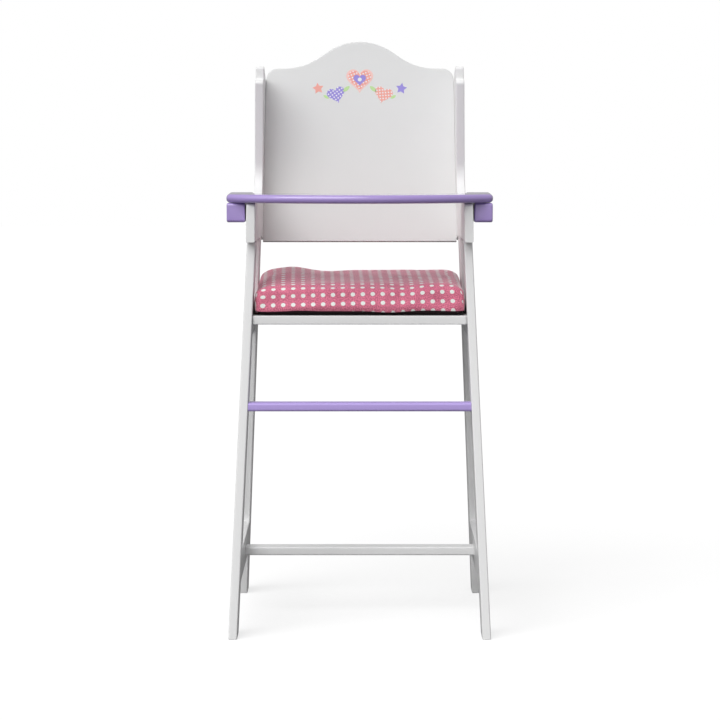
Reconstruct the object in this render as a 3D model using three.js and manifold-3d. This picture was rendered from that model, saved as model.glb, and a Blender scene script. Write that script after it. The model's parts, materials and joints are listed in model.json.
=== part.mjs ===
// A high chair for a doll: painted boards cut to outline, a domed backrest, a loose seat
// cushion, and a bow-fronted tray that swings up on two bolts.
// Lengths are in millimetres and angles in degrees. +Z is up and the chair faces -Y. The
// origin lies on the floor, under the middle of the chair.
// Left and right are those of a person who faces the chair: right is +X.
import * as THREE from "three";
import { mergeVertices } from "three/addons/utils/BufferGeometryUtils.js";
import Module from "manifold-3d";

// Stock and fits
const BOARD = 9; // thickness of every white board
const EDGE = 0.9; // softened edge of a white board
const FIT = 0.3; // gap between pieces that meet
const OVERRUN = 3; // how far a cutting tool runs past a face
const WELD = 0.0001; // vertices closer than this are one

// Side frames: two legs, a seat rail and a stretcher in one leaning plane
const FOOT_X = 130.9; // middle of the board's thickness, on the floor
const SPLAY_SHARE = 0.046; // run inwards, as a share of height
const TOE_SHARE = 0.006; // run outwards, as a share of the distance back
const LEG_WIDTH = 33.4; // front to back, measured level
const LEG_CORNER = 1.4; // rounding along the leg's four long edges
const FOOT_EDGE = 0.6; // chamfer round a leg's ends
const FRONT_FOOT_Y = -140.3; // front edge of a front leg, on the floor
const FRONT_LEAN_SHARE = 0.14; // run back, as a share of height
const REAR_FOOT_Y = 97.5; // front edge of a rear leg, on the floor
const REAR_LEAN_SHARE = -0.155;
const STRETCHER_BOTTOM = 52;
const STRETCHER_HEIGHT = 33.5;
const RAIL_DROP = 12; // how far the seat rails hang below the seat board
const RAIL_HEIGHT = 34;

// Side panels: arm and wing in one board
const PANEL_RISE = 77.5; // lower edge above the seat board
const PANEL_TILT_SHARE = 0.0157; // run inwards, as a share of height
const ARM_HEIGHT = 40.2;
const ARM_FRONT_Y = -98.9; // foot of the arm's front edge
const ARM_RAKE = 23; // how far the arm's front edge slopes back over its height
const ARM_NOSE_RADIUS = 10;
const ARM_FOOT_RADIUS = 4;
const WING_ROOT_Y = 86.7; // where the wing's front edge would meet the arm's top
const WING_ROOT_RADIUS = 34;
const WING_NOSE_Y = 62.5; // foremost point of the wing
const WING_NOSE_RISE = 130.5; // height of that point above the arm's top
const WING_NOSE_RADIUS = 4.5;
const EAR_STEP = 14.5; // ledge between the nose and the ear
const EAR_HEIGHT = 16; // from that ledge to the ear's top
const EAR_RADIUS = 3.5;
const LEDGE_RADIUS = 2.5;
const WING_FALL = 17; // how far the wing's top slopes down to the back
const WING_SHOULDER_RADIUS = 20;
const HEEL_DROP = 6; // how far the panel's rear corner hangs below its lower edge
const HEEL_SETBACK = 3.8; // from the rear leg to where that drop starts
const HEEL_EASE = 8; // rounding where it starts
const HEEL_RADIUS = 1.5;
const PANEL_LIP = 6.5; // how far the panel stands behind the backrest

// Backrest: a reclined board with a domed crown
const BACK_RECLINE = 8.53;
const BACK_FOOT_Y = 98.1; // front face, at the lower edge
const BACK_DROP = 7; // how far the backrest hangs below the side panels
const BACK_LENGTH = 194.4; // lower edge to shoulders, along the board
const BACK_SHOULDER_RADIUS = 13;
const BACK_SHOULDER_FLAT = 7; // level stretch between a shoulder and the crown's cove
const CROWN_RISE = 30.2; // shoulders to the top of the dome
const CROWN_STRAIGHT = 10; // straight slope between dome and cove
const CROWN_DOME_SHARE = 0.47; // the dome's share of the radii of dome and cove together

// Seat board and its cushion
const SEAT_BOTTOM = 318;
const SEAT_FRONT_Y = -68.9;
const SEAT_DEPTH = 150;
const SEAT_CORNER = 3;
const CUSHION_SETBACK = 3.9; // from the seat board's front edge to the cushion's
const CUSHION_DEPTH = 142;
const CUSHION_SIDE_GAP = 0.8; // from the cushion to each side frame
const CUSHION_EDGE = 30; // thickness at the sides
const CUSHION_CROWN = 13; // how much the middle stands above the sides
const CUSHION_BULGE = 3; // how far each wall swells out at mid height
const CUSHION_DRAW = 2.5; // how far the sides draw in between the corners
const CUSHION_ROUNDNESS = 5.5; // power of the rounded box
const CUSHION_CROWN_POWER = 4; // how flat the crown's middle is
const CUSHION_GRID = [18, 14, 5]; // cells across, front to back, and up

// Cross members
const FOOTREST_BOTTOM = 229.8;
const FOOTREST_SETBACK = 6; // behind the front legs' front edges
const FOOTREST_DEPTH = 17;
const FOOTREST_CORNER = 2.5;
const CROSSBAR_DEPTH = 20;
const CROSSBAR_CORNER = 1.6;
const BAR_END_EDGE = 0.4; // softened edge round the ends of both bars

// Tray: a bow-fronted board with an ear at each side, on two square arms
const TRAY_BOARD = 8.6;
const TRAY_FRONT_Y = -139;
const TRAY_BOW = 55; // how far the front edge bows out at the middle
const TRAY_REAR_Y = -54; // middle of the hollow rear edge
const TRAY_HOLLOW = 28; // how far the rear edge hollows in at the middle
const TRAY_CORNER = 11;
const TRAY_FLARE = 4; // how far each side of the tray flares out towards its ear's end
const TRAY_NOTCH_RADIUS = 5; // where the rear edge turns into an ear
const TRAY_BULLNOSE = 3.6;
const EAR_COVER = 3.4; // how far an ear reaches in over the arm that it lies on
const EAR_WIDTH = 24.6; // at its root
const EAR_END_ROUND = 0.6; // rounding that the bullnose leaves at an ear's flat corners
const EAR_CLEARANCE = 2.4; // from an ear's end to the level of the arm below it when the tray is up
const TRAY_ARM_HEIGHT = 20;
const TRAY_ARM_INSET = 0.4; // inside the tray board's side edge
const TRAY_ARM_FRONT_Y = -67;
const TRAY_ARM_CORNER = 3;
const TRAY_ARM_EDGE = 1.6;
const TRAY_ARM_END_FLAT = 0.6; // straight left between the two roundings of the rear end
const PIVOT_Y = 41;

// Screws and dowels
const SCREW_HEAD_RADIUS = 3.4;
const SCREW_HEAD_DEPTH = 2.2;
const SCREW_RADIUS = 1.6;
const SCREW_TIP = 2.5;
const SCREW_TIP_RADIUS = 0.4;
const SCREW_SINK = 0.5; // how far a head lies below the face it enters
const SCREW_LENGTH = 28;
const TRAY_SCREW_LENGTH = 25;
const SOCKET_RADIUS = 1.25;
const SOCKET_DEPTH = 1.3;
const BACK_SCREW_UP = [38, 152]; // along the backrest, from its lower edge
const SEAT_SCREW_INSET = 22.5; // along a seat rail, from each leg
const TRAY_SCREW_BACK = [16, 82]; // from the tray arm's front end
const DOWEL_RADIUS = 2.5;
const DOWEL_LENGTH = 24;
const DOWEL_CHAMFER = 0.6;

// Tray pivots
const BOLT_RADIUS = 2.5;
const BOLT_HEAD_RADIUS = 6;
const BOLT_HEAD_HEIGHT = 2.6;
const BOLT_RIM = 0.8; // straight rim under the domed head
const BOLT_CHAMFER = 0.3;
const BOLT_SOCKET_RADIUS = 1.8;
const BOLT_SOCKET_DEPTH = 1.5;
const INSERT_RADIUS = 4;
const INSERT_LENGTH = 7.2;
const INSERT_SINK = 0.5; // how far the insert lies below the panel's face
const WASHER_RADIUS = 6.5;
const WASHER_THICKNESS = 1.1;

// Smoothness: half the number of straight steps in an arc, and steps round a turned piece
const BOARD_ARC_STEPS = 4;
const CORNER_ARC_STEPS = 2;
const BACK_ARC_STEPS = 5;
const EDGE_STEPS = 2;
const CHAMFER_STEPS = 1;
const BULLNOSE_STEPS = 3;
const TURNED_STEPS = 12;
const LONG_ARC_PIECES = 3; // equal pieces in a long arc, each with its own steps
const HEX_SIDES = 6;

// Levels and lines that follow from the sizes above
const SEAT_TOP = SEAT_BOTTOM + BOARD;
const RAIL_BOTTOM = SEAT_BOTTOM - RAIL_DROP;
const PANEL_BOTTOM = SEAT_TOP + PANEL_RISE;
const BACK_BOTTOM = PANEL_BOTTOM - BACK_DROP;
const ARM_TOP = PANEL_BOTTOM + ARM_HEIGHT;
const TRAY_BOTTOM = ARM_TOP + FIT;
const PIVOT_Z = ARM_TOP - TRAY_ARM_HEIGHT / 2;
const LEG_TOP = PANEL_BOTTOM - FIT;
const CUSHION_FRONT_Y = SEAT_FRONT_Y + CUSHION_SETBACK;
const PANEL_X = FOOT_X - SPLAY_SHARE * PANEL_BOTTOM;
const RECLINE = THREE.MathUtils.degToRad(BACK_RECLINE);

// The middle of a side frame's thickness at a place on it.
const frameX = (y, z) => FOOT_X - SPLAY_SHARE * z + TOE_SHARE * y;
// The middle of a side panel's thickness at a height.
const panelX = (z) => PANEL_X - PANEL_TILT_SHARE * (z - PANEL_BOTTOM);
// Front edges of the legs at a height.
const frontLegY = (z) => FRONT_FOOT_Y + FRONT_LEAN_SHARE * z;
const rearLegY = (z) => REAR_FOOT_Y + REAR_LEAN_SHARE * z;
// A point on the backrest's middle plane, at a distance up the board.
const backY = (up) => BACK_FOOT_Y + up * Math.sin(RECLINE) + (BOARD / 2) * Math.cos(RECLINE);
const backZ = (up) => BACK_BOTTOM + up * Math.cos(RECLINE) - (BOARD / 2) * Math.sin(RECLINE);

// Across the tray: ears that lie on the side panels, and under them arms outside the washers.
const EAR_INNER = panelX(ARM_TOP) + BOARD / 2 - EAR_COVER;
const TRAY_HALF = EAR_INNER + EAR_WIDTH;
const PANEL_FACE = panelX(PIVOT_Z) + BOARD / 2;
const TRAY_ARM_INNER = PANEL_FACE + WASHER_THICKNESS + 2 * FIT;
const TRAY_ARM_OUTER = TRAY_HALF - TRAY_ARM_INSET;
const TRAY_ARM_WIDTH = TRAY_ARM_OUTER - TRAY_ARM_INNER;
const TRAY_ARM_MID = (TRAY_ARM_INNER + TRAY_ARM_OUTER) / 2;

const paint = (color) => new THREE.MeshStandardMaterial({ color, roughness: 0.35, metalness: 0 });
const WHITE_PAINT = paint(0xf3f2f0);
const LILAC_PAINT = paint(0xb39ddb);
const BEECH = new THREE.MeshStandardMaterial({ color: 0xd9b98a, roughness: 0.7, metalness: 0 });
const STEEL = new THREE.MeshStandardMaterial({ color: 0xb8b8bc, roughness: 0.35, metalness: 1 });
const PINK_FABRIC = new THREE.MeshStandardMaterial({
  color: 0xd9839a,
  roughness: 0.9,
  metalness: 0,
});

const wasm = await Module();
wasm.setup();

// A closed geometry as a solid that can be joined and cut.
function solidOf(geometry) {
  const bare = geometry.index ? geometry.toNonIndexed() : geometry.clone();
  bare.deleteAttribute("normal");
  bare.deleteAttribute("uv");
  const merged = mergeVertices(bare, WELD);
  return new wasm.Manifold(
    new wasm.Mesh({
      numProp: 3,
      vertProperties: merged.attributes.position.array,
      triVerts: new Uint32Array(merged.index.array),
    }),
  );
}

// The geometry left when each tool is cut away from a closed geometry.
function cut(geometry, tools) {
  if (tools.length === 0) return geometry;
  const rest = tools.reduce((solid, tool) => solid.subtract(solidOf(tool)), solidOf(geometry));
  const { vertProperties, triVerts } = rest.getMesh();
  const left = new THREE.BufferGeometry()
    .setAttribute("position", new THREE.BufferAttribute(vertProperties, 3))
    .setIndex(new THREE.BufferAttribute(triVerts, 1))
    .toNonIndexed();
  left.computeVertexNormals();
  return left;
}

function mesh(name, geometry, material) {
  const made = new THREE.Mesh(geometry, material);
  made.name = name;
  return made;
}

// A closed outline through corners, each [across, up, radius], every corner rounded.
function roundedOutline(corners) {
  const shape = new THREE.Shape();
  const at = (i) => new THREE.Vector2(...corners[(i + corners.length) % corners.length]);
  corners.forEach(([, , radius], i) => {
    const corner = at(i);
    const back = at(i - 1).sub(corner).normalize();
    const onward = at(i + 1).sub(corner).normalize();
    const half = Math.acos(back.dot(onward)) / 2;
    const centre = back
      .clone()
      .add(onward)
      .normalize()
      .multiplyScalar(radius / Math.sin(half))
      .add(corner);
    const start = back.clone().multiplyScalar(radius / Math.tan(half)).add(corner).sub(centre);
    const end = onward.clone().multiplyScalar(radius / Math.tan(half)).add(corner).sub(centre);
    const clockwise = back.cross(onward) > 0;
    shape.absarc(centre.x, centre.y, radius, start.angle(), end.angle(), clockwise);
  });
  shape.closePath();
  return shape;
}

// Adds a long arc to an outline in equal pieces, so that it gets more steps than a short one.
function longArc(shape, x, y, radius, from, to, clockwise) {
  const turn = (to - from) / LONG_ARC_PIECES;
  for (let i = 0; i < LONG_ARC_PIECES; i += 1) {
    shape.absarc(x, y, radius, from + i * turn, from + (i + 1) * turn, clockwise);
  }
}

// A board of an outline, centred on its own thickness, with softened edges.
function board(shape, thickness, edge, arcSteps, edgeSteps = EDGE_STEPS) {
  const geometry = new THREE.ExtrudeGeometry(shape, {
    depth: thickness - 2 * edge,
    bevelEnabled: true,
    bevelThickness: edge,
    bevelSize: edge,
    bevelOffset: -edge,
    bevelSegments: edgeSteps,
    curveSegments: arcSteps,
  });
  return geometry.translate(0, 0, edge - thickness / 2);
}

// Turns a board from its drawing plane so that it stands front to back, its outline in Y and Z.
const stand = (geometry) =>
  geometry.applyMatrix4(
    new THREE.Matrix4().makeBasis(
      new THREE.Vector3(0, 1, 0),
      new THREE.Vector3(0, 0, 1),
      new THREE.Vector3(1, 0, 0),
    ),
  );

// Leans a board of a side frame into the frame's plane. Level cuts stay level.
const splay = (geometry) =>
  geometry.applyMatrix4(
    new THREE.Matrix4().set(1, TOE_SHARE, -SPLAY_SHARE, FOOT_X, 0, 1, 0, 0, 0, 0, 1, 0, 0, 0, 0, 1),
  );

// A piece turned on a lathe from [radius, along] points, its axis along Z.
function turned(profile) {
  const points = profile.map(([radius, along]) => new THREE.Vector2(radius, along));
  return new THREE.LatheGeometry(points, TURNED_STEPS).rotateX(Math.PI / 2);
}

const sixSided = (radius, length) =>
  new THREE.CylinderGeometry(radius, radius, length, HEX_SIDES).rotateX(Math.PI / 2);

// Directions that a screw, bolt or dowel can point in, as turns of the Z axis.
const INWARDS = new THREE.Matrix4().makeRotationY(-Math.PI / 2);
const UPWARDS = new THREE.Matrix4();
const BACKWARDS = new THREE.Matrix4().makeRotationX(-Math.PI / 2);
const placed = (geometry, direction, x, y, z) =>
  geometry.applyMatrix4(direction).translate(x, y, z);

// A countersunk wood screw, its head face at zero and its tip along +Z.
function screw(length) {
  const body = turned([
    [0, 0],
    [SCREW_HEAD_RADIUS, 0],
    [SCREW_RADIUS, SCREW_HEAD_DEPTH],
    [SCREW_RADIUS, length - SCREW_TIP],
    [SCREW_TIP_RADIUS, length],
    [0, length],
  ]);
  return cut(body, [sixSided(SOCKET_RADIUS, 2 * SOCKET_DEPTH)]);
}

// The countersunk hole that such a screw lies in, open at the head.
const screwHole = (length) =>
  turned([
    [0, -OVERRUN],
    [SCREW_HEAD_RADIUS + FIT, -OVERRUN],
    [SCREW_HEAD_RADIUS + FIT, FIT],
    [SCREW_RADIUS + FIT, SCREW_HEAD_DEPTH + FIT],
    [SCREW_RADIUS + FIT, length + FIT],
    [0, length + FIT],
  ]);

function dowel() {
  const half = DOWEL_LENGTH / 2;
  return turned([
    [0, -half],
    [DOWEL_RADIUS - DOWEL_CHAMFER, -half],
    [DOWEL_RADIUS, DOWEL_CHAMFER - half],
    [DOWEL_RADIUS, half - DOWEL_CHAMFER],
    [DOWEL_RADIUS - DOWEL_CHAMFER, half],
    [0, half],
  ]);
}

const dowelHole = () =>
  turned([
    [0, -DOWEL_LENGTH / 2 - FIT],
    [DOWEL_RADIUS + FIT, -DOWEL_LENGTH / 2 - FIT],
    [DOWEL_RADIUS + FIT, DOWEL_LENGTH / 2 + FIT],
    [0, DOWEL_LENGTH / 2 + FIT],
  ]);

// Every joint of the right side: what it is called, its direction and its place. The left side
// is this one mirrored.
const legMiddleY = (z, legY) => legY(z) + LEG_WIDTH / 2;
const STRETCHER_MIDDLE = STRETCHER_BOTTOM + STRETCHER_HEIGHT / 2;
const RAIL_MIDDLE = RAIL_BOTTOM + RAIL_HEIGHT / 2;
const SEAT_MIDDLE = SEAT_BOTTOM + BOARD / 2;
const FOOTREST_MIDDLE = FOOTREST_BOTTOM + BOARD / 2;
const CROSSBAR_Y =
  (frontLegY(STRETCHER_MIDDLE) + LEG_WIDTH + rearLegY(STRETCHER_MIDDLE)) / 2;
const FOOTREST_Y = frontLegY(FOOTREST_MIDDLE) + FOOTREST_SETBACK + FOOTREST_DEPTH / 2;

const alongFrame = (y, z) => [BACKWARDS, frameX(y, z), y, z];
const frontEnd = (z) => alongFrame(frontLegY(z) + LEG_WIDTH, z);
const rearEnd = (z) => alongFrame(rearLegY(z), z);
const legHead = (legY) => {
  const y = legMiddleY(PANEL_BOTTOM, legY);
  return [UPWARDS, frameX(y, PANEL_BOTTOM), y, PANEL_BOTTOM];
};
const DOWELS = {
  stretcher_front_dowel: frontEnd(STRETCHER_MIDDLE),
  stretcher_rear_dowel: rearEnd(STRETCHER_MIDDLE),
  seat_rail_front_dowel: frontEnd(RAIL_MIDDLE),
  seat_rail_rear_dowel: rearEnd(RAIL_MIDDLE),
  front_leg_dowel: legHead(frontLegY),
  rear_leg_dowel: legHead(rearLegY),
};

const frameFace = (y, z) => frameX(y, z) + BOARD / 2 - SCREW_SINK;
const throughFrame = (y, z) => [INWARDS, frameFace(y, z), y, z];
const SCREWS = {
  footrest_screw: throughFrame(FOOTREST_Y, FOOTREST_MIDDLE),
  crossbar_screw: throughFrame(CROSSBAR_Y, STRETCHER_MIDDLE),
};
const seatScrewY = [
  frontLegY(SEAT_MIDDLE) + LEG_WIDTH + SEAT_SCREW_INSET,
  rearLegY(SEAT_MIDDLE) - SEAT_SCREW_INSET,
];
seatScrewY.forEach((y, i) => {
  SCREWS["seat_screw_" + (i + 1)] = throughFrame(y, SEAT_MIDDLE);
});
BACK_SCREW_UP.forEach((up, i) => {
  const face = panelX(backZ(up)) + BOARD / 2 - SCREW_SINK;
  SCREWS["backrest_screw_" + (i + 1)] = [INWARDS, face, backY(up), backZ(up)];
});
const TRAY_SCREWS = {};
TRAY_SCREW_BACK.forEach((back, i) => {
  const y = TRAY_ARM_FRONT_Y + back;
  const z = ARM_TOP - TRAY_ARM_HEIGHT + SCREW_SINK;
  TRAY_SCREWS["tray_screw_" + (i + 1)] = [UPWARDS, TRAY_ARM_MID, y, z];
});

// The holes for the named dowels and screws, as cutting tools.
const dowelHoles = (...names) => names.map((name) => placed(dowelHole(), ...DOWELS[name]));
const screwHoles = (...names) =>
  names.map((name) => placed(screwHole(SCREW_LENGTH), ...SCREWS[name]));
const namesLike = (table, start) => Object.keys(table).filter((name) => name.startsWith(start));

// A leg: a level rounded section carried up to the panel and leaned both ways.
function leg(footY, lean, holes) {
  const across = BOARD / 2;
  const along = LEG_WIDTH / 2;
  const section = roundedOutline([
    [-across, -along, LEG_CORNER],
    [across, -along, LEG_CORNER],
    [across, along, LEG_CORNER],
    [-across, along, LEG_CORNER],
  ]);
  const upright = board(section, LEG_TOP, FOOT_EDGE, CORNER_ARC_STEPS, CHAMFER_STEPS);
  upright.translate(0, along + footY, LEG_TOP / 2);
  upright.applyMatrix4(new THREE.Matrix4().makeShear(0, 0, 0, 0, 0, lean));
  return cut(splay(upright), holes);
}

// A board between the two legs of a side frame, its ends cut to their lean.
function frameBoard(bottom, height, holes) {
  const top = bottom + height;
  const front = (z) => frontLegY(z) + LEG_WIDTH + FIT;
  const rear = (z) => rearLegY(z) - FIT;
  const outline = new THREE.Shape([
    new THREE.Vector2(front(bottom), bottom),
    new THREE.Vector2(rear(bottom), bottom),
    new THREE.Vector2(rear(top), top),
    new THREE.Vector2(front(top), top),
  ]);
  return cut(splay(stand(board(outline, BOARD, EDGE, BOARD_ARC_STEPS))), holes);
}

// The side panel: a level arm in front, and behind it a wing that rises to a small ear. Its
// lower edge drops behind the rear leg, down beside the backrest's foot.
function sidePanel(holes) {
  const behind = BOARD / Math.cos(RECLINE) + PANEL_LIP;
  const rearY = (z) => BACK_FOOT_Y + (z - BACK_BOTTOM) * Math.tan(RECLINE) + behind;
  const noseZ = ARM_TOP + WING_NOSE_RISE;
  const earTop = noseZ + EAR_HEIGHT;
  const earY = WING_NOSE_Y + EAR_STEP;
  const shoulder = earTop - WING_FALL;
  const heelZ = PANEL_BOTTOM - HEEL_DROP;
  const heelY = rearLegY(LEG_TOP) + LEG_WIDTH + HEEL_SETBACK;
  const outline = roundedOutline([
    [ARM_FRONT_Y, PANEL_BOTTOM, ARM_FOOT_RADIUS],
    [heelY, PANEL_BOTTOM, HEEL_EASE],
    [rearY(heelZ), heelZ, HEEL_RADIUS],
    [rearY(shoulder), shoulder, WING_SHOULDER_RADIUS],
    [earY, earTop, EAR_RADIUS],
    [earY, noseZ, LEDGE_RADIUS],
    [WING_NOSE_Y, noseZ, WING_NOSE_RADIUS],
    [WING_ROOT_Y, ARM_TOP, WING_ROOT_RADIUS],
    [ARM_FRONT_Y + ARM_RAKE, ARM_TOP, ARM_NOSE_RADIUS],
  ]);
  const tilt = new THREE.Matrix4().makeShear(0, 0, 0, 0, -PANEL_TILT_SHARE, 0);
  const panel = stand(board(outline, BOARD, EDGE, BOARD_ARC_STEPS)).applyMatrix4(tilt);
  return cut(panel.translate(panelX(0), 0, 0), holes);
}

// The backrest's outline: tapered sides, round shoulders and a dome that coves into them.
function backrestOutline() {
  const halfWidth = (up) => panelX(backZ(up)) - BOARD / 2 - FIT;
  const shoulderX = halfWidth(BACK_LENGTH) - BACK_SHOULDER_RADIUS;
  const shoulderY = BACK_LENGTH - BACK_SHOULDER_RADIUS;
  const coveX = shoulderX - BACK_SHOULDER_FLAT;
  // Dome and cove touch the same straight slope from its two sides.
  const reach = coveX ** 2 + CROWN_RISE ** 2 - CROWN_STRAIGHT ** 2;
  const radii = reach / (2 * CROWN_RISE);
  const domeRadius = CROWN_DOME_SHARE * radii;
  const coveRadius = radii - domeRadius;
  const slope = Math.atan2(radii, CROWN_STRAIGHT) - Math.atan2(radii - CROWN_RISE, coveX);
  const domeCentre = BACK_LENGTH + CROWN_RISE - domeRadius;
  const coveCentre = BACK_LENGTH + coveRadius;
  const up = Math.PI / 2;
  const shape = new THREE.Shape();
  shape.moveTo(-halfWidth(0), 0);
  shape.lineTo(halfWidth(0), 0);
  shape.absarc(shoulderX, shoulderY, BACK_SHOULDER_RADIUS, 0, up, false);
  shape.absarc(coveX, coveCentre, coveRadius, -up, -up - slope, true);
  shape.absarc(0, domeCentre, domeRadius, up - slope, up + slope, false);
  shape.absarc(-coveX, coveCentre, coveRadius, slope - up, -up, true);
  shape.absarc(-shoulderX, shoulderY, BACK_SHOULDER_RADIUS, up, 2 * up, false);
  shape.closePath();
  return shape;
}

// The reclined backrest. The holes are given where they lie in the chair, on both sides.
function backrest(holes) {
  const lean = new THREE.Matrix4()
    .makeTranslation(0, BACK_FOOT_Y, BACK_BOTTOM)
    .multiply(new THREE.Matrix4().makeRotationX(Math.PI / 2 - RECLINE));
  const panel = board(backrestOutline(), BOARD, EDGE, BACK_ARC_STEPS);
  return cut(panel.translate(0, 0, -BOARD / 2).applyMatrix4(lean), holes);
}

// The seat board, a little wider at the back, between the side frames.
function seatBoard(holes) {
  const rearY = SEAT_FRONT_Y + SEAT_DEPTH;
  const half = (y) => frameX(y, SEAT_TOP) - BOARD / 2 - FIT;
  const outline = roundedOutline([
    [-half(SEAT_FRONT_Y), SEAT_FRONT_Y, SEAT_CORNER],
    [half(SEAT_FRONT_Y), SEAT_FRONT_Y, SEAT_CORNER],
    [half(rearY), rearY, SEAT_CORNER],
    [-half(rearY), rearY, SEAT_CORNER],
  ]);
  const slab = board(outline, BOARD, EDGE, CORNER_ARC_STEPS).translate(0, 0, SEAT_MIDDLE);
  return cut(slab, holes);
}

// A bar from side to side, with a rounded section of its own depth. Its ends are cut to the
// slant of the side frames.
function crossMember(y, z, depth, corner, holes) {
  const section = roundedOutline([
    [-depth / 2, -BOARD / 2, corner],
    [depth / 2, -BOARD / 2, corner],
    [depth / 2, BOARD / 2, corner],
    [-depth / 2, BOARD / 2, corner],
  ]);
  const reach = (atY, atZ) => frameX(atY, atZ) - BOARD / 2 - FIT;
  const length = 2 * reach(y, z);
  const bar = stand(board(section, length, BAR_END_EDGE, CORNER_ARC_STEPS, CHAMFER_STEPS));
  const points = bar.translate(0, y, z).attributes.position;
  for (let i = 0; i < points.count; i += 1) {
    const share = points.getX(i) / reach(y, z);
    points.setX(i, share * reach(points.getY(i), points.getZ(i)));
  }
  return cut(bar, holes);
}

// The cushion: a rounded box with a crowned top, a flat base and walls that swell at mid height
// and draw in between the corners.
function cushion() {
  const geometry = new THREE.BoxGeometry(2, 2, 2, ...CUSHION_GRID);
  const points = geometry.attributes.position;
  const rearY = CUSHION_FRONT_Y + CUSHION_DEPTH;
  const middleY = (CUSHION_FRONT_Y + rearY) / 2;
  const level = SEAT_TOP + FIT;
  const crownLevel = level + CUSHION_EDGE + CUSHION_CROWN;
  const half = frameX(CUSHION_FRONT_Y, crownLevel) - BOARD / 2 - CUSHION_SIDE_GAP - CUSHION_BULGE;
  const halfDepth = CUSHION_DEPTH / 2 - CUSHION_BULGE;
  const power = CUSHION_ROUNDNESS;
  for (let i = 0; i < points.count; i += 1) {
    const u = points.getX(i);
    const v = points.getY(i);
    const w = points.getZ(i);
    const length = (Math.abs(u) ** power + Math.abs(v) ** power + Math.abs(w) ** power) ** (1 / power);
    const across = u / length;
    const along = v / length;
    const up = w / length;
    const swell = CUSHION_BULGE * (1 - up * up);
    const drawnX = CUSHION_DRAW * (1 - along * along) * across;
    const drawnY = CUSHION_DRAW * (1 - across * across) * along;
    const fade = (1 - across ** CUSHION_CROWN_POWER) * (1 - along ** CUSHION_CROWN_POWER);
    const height = up > 0 ? CUSHION_EDGE / 2 + CUSHION_CROWN * fade : CUSHION_EDGE / 2;
    points.setXYZ(
      i,
      across * (half + swell) - drawnX,
      middleY + along * (halfDepth + swell) - drawnY,
      level + CUSHION_EDGE / 2 + up * height,
    );
  }
  geometry.computeVertexNormals();
  return geometry;
}

// The tray board in plan: bowed front, round corners, and at each side an ear with a square end
// that reaches back over the side panel's arm. The sides flare out towards the ears' ends.
function trayOutline() {
  const sideY = TRAY_FRONT_Y + TRAY_BOW;
  const earEnd = PIVOT_Y - (TRAY_BOTTOM - PIVOT_Z) - EAR_CLEARANCE;
  const bowRadius = (TRAY_HALF ** 2 + TRAY_BOW ** 2) / (2 * TRAY_BOW);
  const hollowRadius = (EAR_INNER ** 2 + TRAY_HOLLOW ** 2) / (2 * TRAY_HOLLOW);
  const bowCentre = TRAY_FRONT_Y + bowRadius;
  const hollowCentre = TRAY_REAR_Y + hollowRadius;
  const flare = Math.atan2(TRAY_FLARE, earEnd - sideY);
  // The corner arc touches the bow from inside and the flared side.
  const inside = new THREE.Vector2(-Math.cos(flare), Math.sin(flare)).multiplyScalar(TRAY_CORNER);
  const start = new THREE.Vector2(TRAY_HALF, sideY - bowCentre).add(inside);
  const onward = new THREE.Vector2(Math.sin(flare), Math.cos(flare));
  const along = start.dot(onward);
  const reach = (bowRadius - TRAY_CORNER) ** 2 - start.lengthSq();
  const corner = start.addScaledVector(onward, -along - Math.sqrt(along ** 2 + reach));
  const cornerTurn = corner.angle() - 2 * Math.PI;
  // The notch arc rounds the hollow edge into the ear's inner side.
  const notchX = EAR_INNER - TRAY_NOTCH_RADIUS;
  const notchY = hollowCentre - Math.sqrt((hollowRadius - TRAY_NOTCH_RADIUS) ** 2 - notchX ** 2);
  const notchTurn = Math.atan2(notchY - hollowCentre, notchX);
  const endRadius = TRAY_BULLNOSE + EAR_END_ROUND;
  const endX = TRAY_HALF + TRAY_FLARE - (endRadius * (1 + Math.sin(flare))) / Math.cos(flare);
  const endY = earEnd - endRadius;
  const halfTurn = Math.PI;
  // Each arc of the right half: centre, radius, from, to, clockwise.
  const arcs = [
    [corner.x, corner.y + bowCentre, TRAY_CORNER, cornerTurn, -flare, false],
    [endX, endY, endRadius, -flare, halfTurn / 2, false],
    [EAR_INNER + endRadius, endY, endRadius, halfTurn / 2, halfTurn, false],
    [notchX, notchY, TRAY_NOTCH_RADIUS, 0, notchTurn, true],
  ];
  const shape = new THREE.Shape();
  longArc(shape, 0, bowCentre, bowRadius, -halfTurn - cornerTurn, cornerTurn, false);
  arcs.forEach((arc) => shape.absarc(...arc));
  longArc(shape, 0, hollowCentre, hollowRadius, notchTurn, -halfTurn - notchTurn, true);
  for (const [x, y, radius, from, to, clockwise] of arcs.toReversed()) {
    shape.absarc(-x, y, radius, halfTurn - to, halfTurn - from, clockwise);
  }
  shape.closePath();
  return shape;
}

function trayBoard(holes) {
  const slab = board(trayOutline(), TRAY_BOARD, TRAY_BULLNOSE, BOARD_ARC_STEPS, BULLNOSE_STEPS);
  return cut(slab.translate(0, 0, TRAY_BOTTOM + TRAY_BOARD / 2), holes);
}

// A tray arm: a square bar with a rounded rear end, centred on the pivot bolt.
function trayArm(holes) {
  const bottom = ARM_TOP - TRAY_ARM_HEIGHT;
  const rearY = PIVOT_Y + TRAY_ARM_HEIGHT / 2;
  const endRadius = (TRAY_ARM_HEIGHT - TRAY_ARM_END_FLAT) / 2;
  const outline = roundedOutline([
    [TRAY_ARM_FRONT_Y, bottom, TRAY_ARM_CORNER],
    [rearY, bottom, endRadius],
    [rearY, ARM_TOP, endRadius],
    [TRAY_ARM_FRONT_Y, ARM_TOP, TRAY_ARM_CORNER],
  ]);
  const bar = stand(board(outline, TRAY_ARM_WIDTH, TRAY_ARM_EDGE, BOARD_ARC_STEPS));
  return cut(bar.translate(TRAY_ARM_MID, 0, 0), holes);
}

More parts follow.
